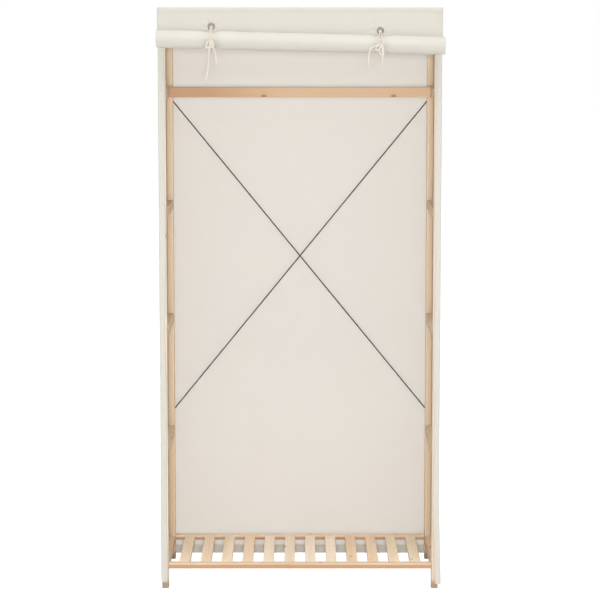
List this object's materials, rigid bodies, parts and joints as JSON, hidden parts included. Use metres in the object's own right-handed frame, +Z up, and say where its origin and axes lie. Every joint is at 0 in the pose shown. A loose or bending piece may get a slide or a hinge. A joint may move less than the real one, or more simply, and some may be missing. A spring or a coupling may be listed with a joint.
{
  "type": "portable fabric wardrobe",
  "caption": "Portable wardrobe: pine frame with hanging rail, slatted shelf and crossed brace wires, under a cloth cover with its front door rolled up and tied.",
  "frame": {"origin": "on the floor, under the centre of the wardrobe's outline with its rolled door and without the free ends of the ties", "axes": "+Z up, -Y out of the open front, +X to the right of someone who faces the front"},
  "size_m": [0.828, 0.4748, 1.7],
  "materials": {
    "pine": "planed, untreated",
    "cover_cloth": "off-white non-woven cloth, matte",
    "tie_cord": "braided cord, matte",
    "wire_steel": "dark coated wire",
    "screw_steel": "zinc plated",
    "eyelet_metal": "nickel plated"
  },
  "bodies": {
    "frame": {"post_front_left": "pine", "post_back_left": "pine", "post_front_right": "pine", "post_back_right": "pine", "rung_left_1": "pine", "rung_left_2": "pine", "rung_left_3": "pine", "rung_left_4": "pine", "rung_left_5": "pine", "top_rung_left": "pine", "rung_right_1": "pine", "rung_right_2": "pine", "rung_right_3": "pine", "rung_right_4": "pine", "rung_right_5": "pine", "top_rung_right": "pine", "hanging_rail": "pine", "top_rail_front": "pine", "top_rail_back": "pine", "shelf_rail_front": "pine", "shelf_rail_back": "pine", "shelf_slat_01": "pine", "shelf_slat_02": "pine", "shelf_slat_03": "pine", "shelf_slat_04": "pine", "shelf_slat_05": "pine", "shelf_slat_06": "pine", "shelf_slat_07": "pine", "shelf_slat_08": "pine", "shelf_slat_09": "pine", "shelf_slat_10": "pine", "shelf_slat_11": "pine", "shelf_slat_12": "pine", "hanging_rail_screw_left": "screw_steel", "hanging_rail_screw_right": "screw_steel", "shelf_screw_front_left": "screw_steel", "shelf_screw_back_left": "screw_steel", "shelf_screw_front_right": "screw_steel", "shelf_screw_back_right": "screw_steel", "brace_wire_a": "wire_steel", "brace_wire_b": "wire_steel", "brace_screw_top_left": "screw_steel", "brace_screw_bottom_left": "screw_steel", "brace_screw_top_right": "screw_steel", "brace_screw_bottom_right": "screw_steel"},
    "cover": {"cover_left_panel": "cover_cloth", "cover_right_panel": "cover_cloth", "cover_left_facing": "cover_cloth", "cover_right_facing": "cover_cloth", "cover_back_panel": "cover_cloth", "cover_top_panel": "cover_cloth", "cover_valance": "cover_cloth", "door_top": "cover_cloth", "eyelet_left": "eyelet_metal", "eyelet_right": "eyelet_metal", "tie_left_hold": "tie_cord", "tie_left_bow": "tie_cord", "tie_right_hold": "tie_cord", "tie_right_bow": "tie_cord"},
    "door": {"door_roll": "cover_cloth"}
  },
  "joints": [
    {"name": "cover_lift", "type": "slide", "parent": "frame", "child": "cover", "axis": [0, 0, 1], "range_m": [0, 1.72]},
    {"name": "door_drop", "type": "slide", "parent": "cover", "child": "door", "axis": [0, 0, -1], "range_m": [0, 1.54], "deforming": ["door_top", "tie_left_hold", "tie_left_bow", "tie_right_hold", "tie_right_bow"]}
  ]
}
